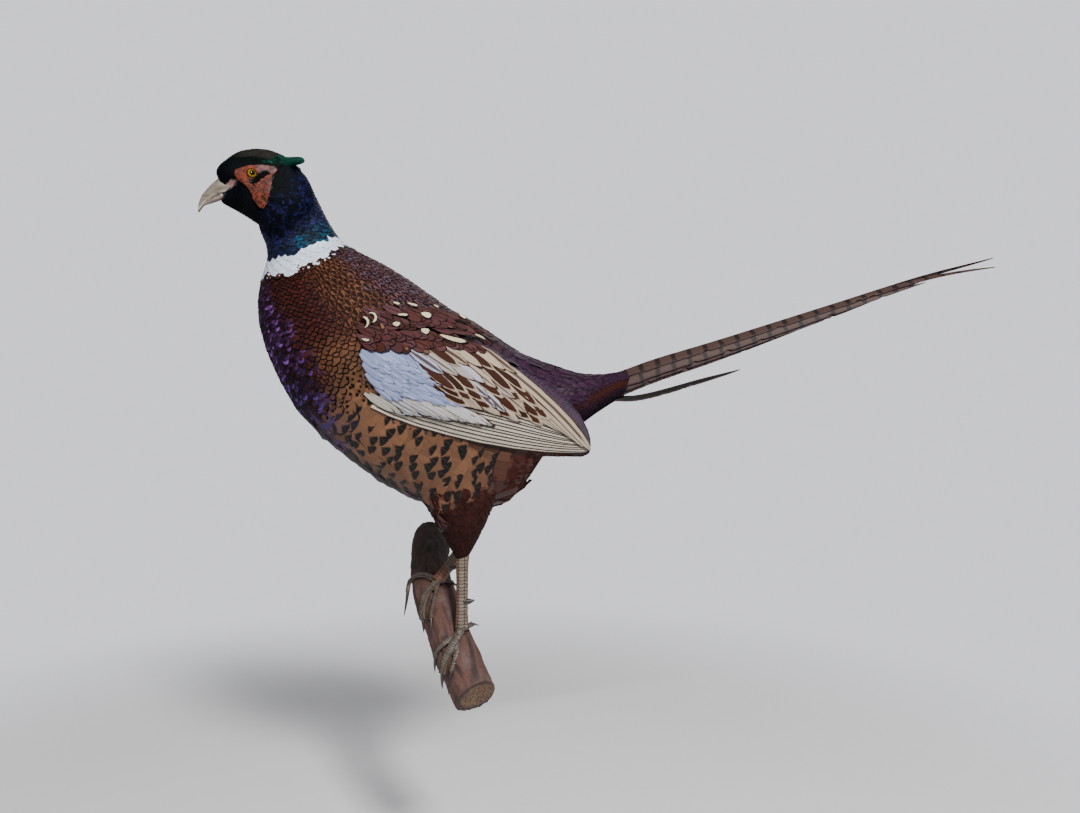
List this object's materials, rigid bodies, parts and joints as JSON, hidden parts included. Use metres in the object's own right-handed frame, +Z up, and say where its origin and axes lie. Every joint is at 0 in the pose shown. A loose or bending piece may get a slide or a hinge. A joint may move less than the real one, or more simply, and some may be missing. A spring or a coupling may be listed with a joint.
{
  "type": "taxidermy pheasant on a branch",
  "caption": "Life-size mounted cock ring-necked pheasant with a long raised tail, standing on a short bent branch stub that hangs on a wall.",
  "frame": {"origin": "centre of the branch's flat sawn end that meets the wall", "axes": "+X towards the tail's tip, +Y into the wall, +Z up; the bird stands on the -Y side with its left side towards -Y"},
  "size_m": [0.7037, 0.1898, 0.4871],
  "materials": {
    "head_plumage": "fine satin feathers, near-black green with a metallic gloss",
    "neck_plumage": "dark blue-violet scale feathers with a metallic gloss above a white collar",
    "body_plumage": "overlapping copper and maroon feathers with dark edges, satin gloss",
    "rump_plumage": "loose dark maroon hair-like feathers, matt",
    "covert_plumage": "overlapping lavender-grey and chestnut feathers, matt",
    "quill_plumage": "stiff buff flight feathers with fine dark bars, satin",
    "thigh_plumage": "soft brown hair-like feathers, matt",
    "tail_plumage": "long stiff grey-brown feathers with dark cross bars, satin",
    "facial_skin": "painted bare skin, finely papillate, orange-red",
    "bill_horn": "pale horn, satin",
    "glass_eye": "glass eye with yellow iris and black pupil, glossy",
    "leg_scales": "grey-buff scaled skin, satin",
    "claw_horn": "dark brown horn, satin",
    "bark": "rough grey-brown bark with a pale sawn end"
  },
  "bodies": {
    "root": {"bill_lower": "bill_horn", "bill_upper": "bill_horn", "branch": "bark", "claw_left_hind": "claw_horn", "claw_left_inner": "claw_horn", "claw_left_middle": "claw_horn", "claw_left_outer": "claw_horn", "claw_right_hind": "claw_horn", "claw_right_inner": "claw_horn", "claw_right_middle": "claw_horn", "claw_right_outer": "claw_horn", "ear_tuft_left": "head_plumage", "ear_tuft_right": "head_plumage", "eye_left": "glass_eye", "eye_right": "glass_eye", "face_left": "facial_skin", "face_right": "facial_skin", "head": "head_plumage", "neck": "neck_plumage", "rump": "rump_plumage", "shank_left": "leg_scales", "shank_right": "leg_scales", "spur_left": "claw_horn", "spur_right": "claw_horn", "tail_central_left": "tail_plumage", "tail_central_right": "tail_plumage", "tail_fourth_left": "tail_plumage", "tail_fourth_right": "tail_plumage", "tail_outer_left": "tail_plumage", "tail_outer_right": "tail_plumage", "tail_second_left": "tail_plumage", "tail_second_right": "tail_plumage", "tail_third_left": "tail_plumage", "tail_third_right": "tail_plumage", "thigh_left": "thigh_plumage", "thigh_right": "thigh_plumage", "toe_left_hind": "leg_scales", "toe_left_inner": "leg_scales", "toe_left_middle": "leg_scales", "toe_left_outer": "leg_scales", "toe_right_hind": "leg_scales", "toe_right_inner": "leg_scales", "toe_right_middle": "leg_scales", "toe_right_outer": "leg_scales", "trunk": "body_plumage", "wing_left_coverts": "covert_plumage", "wing_left_quills": "quill_plumage", "wing_right_coverts": "covert_plumage", "wing_right_quills": "quill_plumage"}
  },
  "joints": []
}
